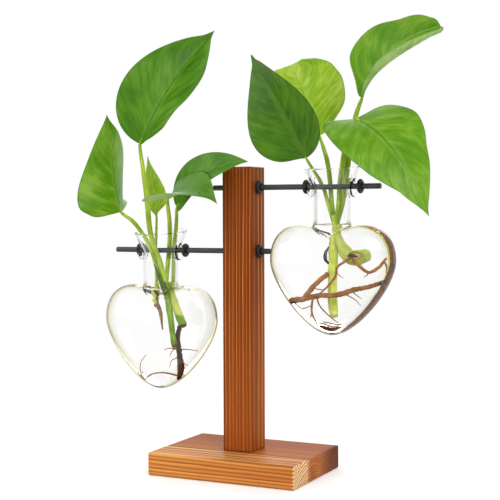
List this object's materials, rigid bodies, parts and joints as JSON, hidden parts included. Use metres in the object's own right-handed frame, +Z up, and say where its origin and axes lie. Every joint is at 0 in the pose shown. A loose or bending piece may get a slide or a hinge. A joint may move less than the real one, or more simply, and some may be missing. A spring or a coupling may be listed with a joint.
{
  "type": "terrarium",
  "caption": "Heart-shaped glass vases hung on black rods through a wooden post on a base, holding water and rooted leafy cuttings.",
  "frame": {"origin": "middle of the base's underside", "axes": "+Z up; +X along the rods, towards the higher heart; +Y away from the viewer of the picture"},
  "size_m": [0.3237, 0.1151, 0.3982],
  "materials": {
    "base_wood": "oiled scorched pine with strong straight grain",
    "post_wood": "oiled scorched pine, red-brown with straight grain",
    "screw_steel": "zinc-plated",
    "black_rod": "satin black",
    "rubber": "black rubber",
    "glass": "clear blown glass",
    "water": "clear water",
    "leaf": "glossy green leaf",
    "dark_leaf": "glossy dark green leaf",
    "pale_leaf": "pale yellow-green leaf",
    "stem": "green stem",
    "root": "brown root"
  },
  "bodies": {
    "stand": {"base_block": "base_wood", "post": "post_wood", "base_screw_left": "screw_steel", "base_screw_right": "screw_steel"},
    "upper_rod": {"upper_rod": "black_rod"},
    "lower_rod": {"lower_rod": "black_rod"},
    "upper_post_ring_long_side": {"upper_post_ring_long_side": "rubber"},
    "upper_post_ring_stub_side": {"upper_post_ring_stub_side": "rubber"},
    "upper_vase_ring_inner": {"upper_vase_ring_inner": "rubber"},
    "upper_vase_ring_outer": {"upper_vase_ring_outer": "rubber"},
    "lower_post_ring_long_side": {"lower_post_ring_long_side": "rubber"},
    "lower_post_ring_stub_side": {"lower_post_ring_stub_side": "rubber"},
    "lower_vase_ring_inner": {"lower_vase_ring_inner": "rubber"},
    "lower_vase_ring_outer": {"lower_vase_ring_outer": "rubber"},
    "right_vase": {"right_vase": "glass", "right_water": "water", "right_main_cutting": "stem", "right_side_shoot": "pale_leaf", "right_roots": "root", "right_leaf_dark_left": "dark_leaf", "right_leaf_pale_back": "pale_leaf", "right_leaf_high_right": "leaf", "right_leaf_broad_right": "leaf"},
    "left_vase": {"left_vase": "glass", "left_water": "water", "left_green_cutting": "stem", "left_pale_cutting": "stem", "left_old_stub": "root", "left_roots": "root", "left_leaf_large_upper": "leaf", "left_leaf_outer_left": "leaf", "left_leaf_young_spear": "pale_leaf", "left_leaf_back_right": "leaf", "left_leaf_front_right": "leaf"}
  },
  "joints": [
    {"name": "upper_rod_slide", "type": "slide", "parent": "stand", "child": "upper_rod", "axis": [1, 0, 0], "range_m": [0, 0.006]},
    {"name": "lower_rod_slide", "type": "slide", "parent": "stand", "child": "lower_rod", "axis": [-1, 0, 0], "range_m": [0, 0.0045]},
    {"name": "right_vase_swing", "type": "hinge", "parent": "upper_rod", "child": "right_vase", "pos_m": [0.084, 0, 0.252], "axis": [1, 0, 0], "range_deg": [-30, 30]},
    {"name": "left_vase_swing", "type": "hinge", "parent": "lower_rod", "child": "left_vase", "pos_m": [-0.085, 0, 0.196], "axis": [1, 0, 0], "range_deg": [-6, 30]},
    {"name": "upper_vase_ring_outer_slide", "type": "slide", "parent": "upper_rod", "child": "upper_vase_ring_outer", "axis": [1, 0, 0], "range_m": [0, 0.016]},
    {"name": "upper_vase_ring_inner_slide", "type": "slide", "parent": "upper_rod", "child": "upper_vase_ring_inner", "axis": [-1, 0, 0], "range_m": [0, 0.018]},
    {"name": "upper_post_ring_long_slide", "type": "slide", "parent": "stand", "child": "upper_post_ring_long_side", "axis": [1, 0, 0], "range_m": [0, 0.018]},
    {"name": "upper_post_ring_stub_slide", "type": "slide", "parent": "stand", "child": "upper_post_ring_stub_side", "axis": [-1, 0, 0], "range_m": [0, 0.006]},
    {"name": "lower_vase_ring_outer_slide", "type": "slide", "parent": "lower_rod", "child": "lower_vase_ring_outer", "axis": [-1, 0, 0], "range_m": [0, 0.018]},
    {"name": "lower_vase_ring_inner_slide", "type": "slide", "parent": "lower_rod", "child": "lower_vase_ring_inner", "axis": [1, 0, 0], "range_m": [0, 0.018]},
    {"name": "lower_post_ring_long_slide", "type": "slide", "parent": "stand", "child": "lower_post_ring_long_side", "axis": [-1, 0, 0], "range_m": [0, 0.018]},
    {"name": "lower_post_ring_stub_slide", "type": "slide", "parent": "stand", "child": "lower_post_ring_stub_side", "axis": [1, 0, 0], "range_m": [0, 0.004]}
  ]
}
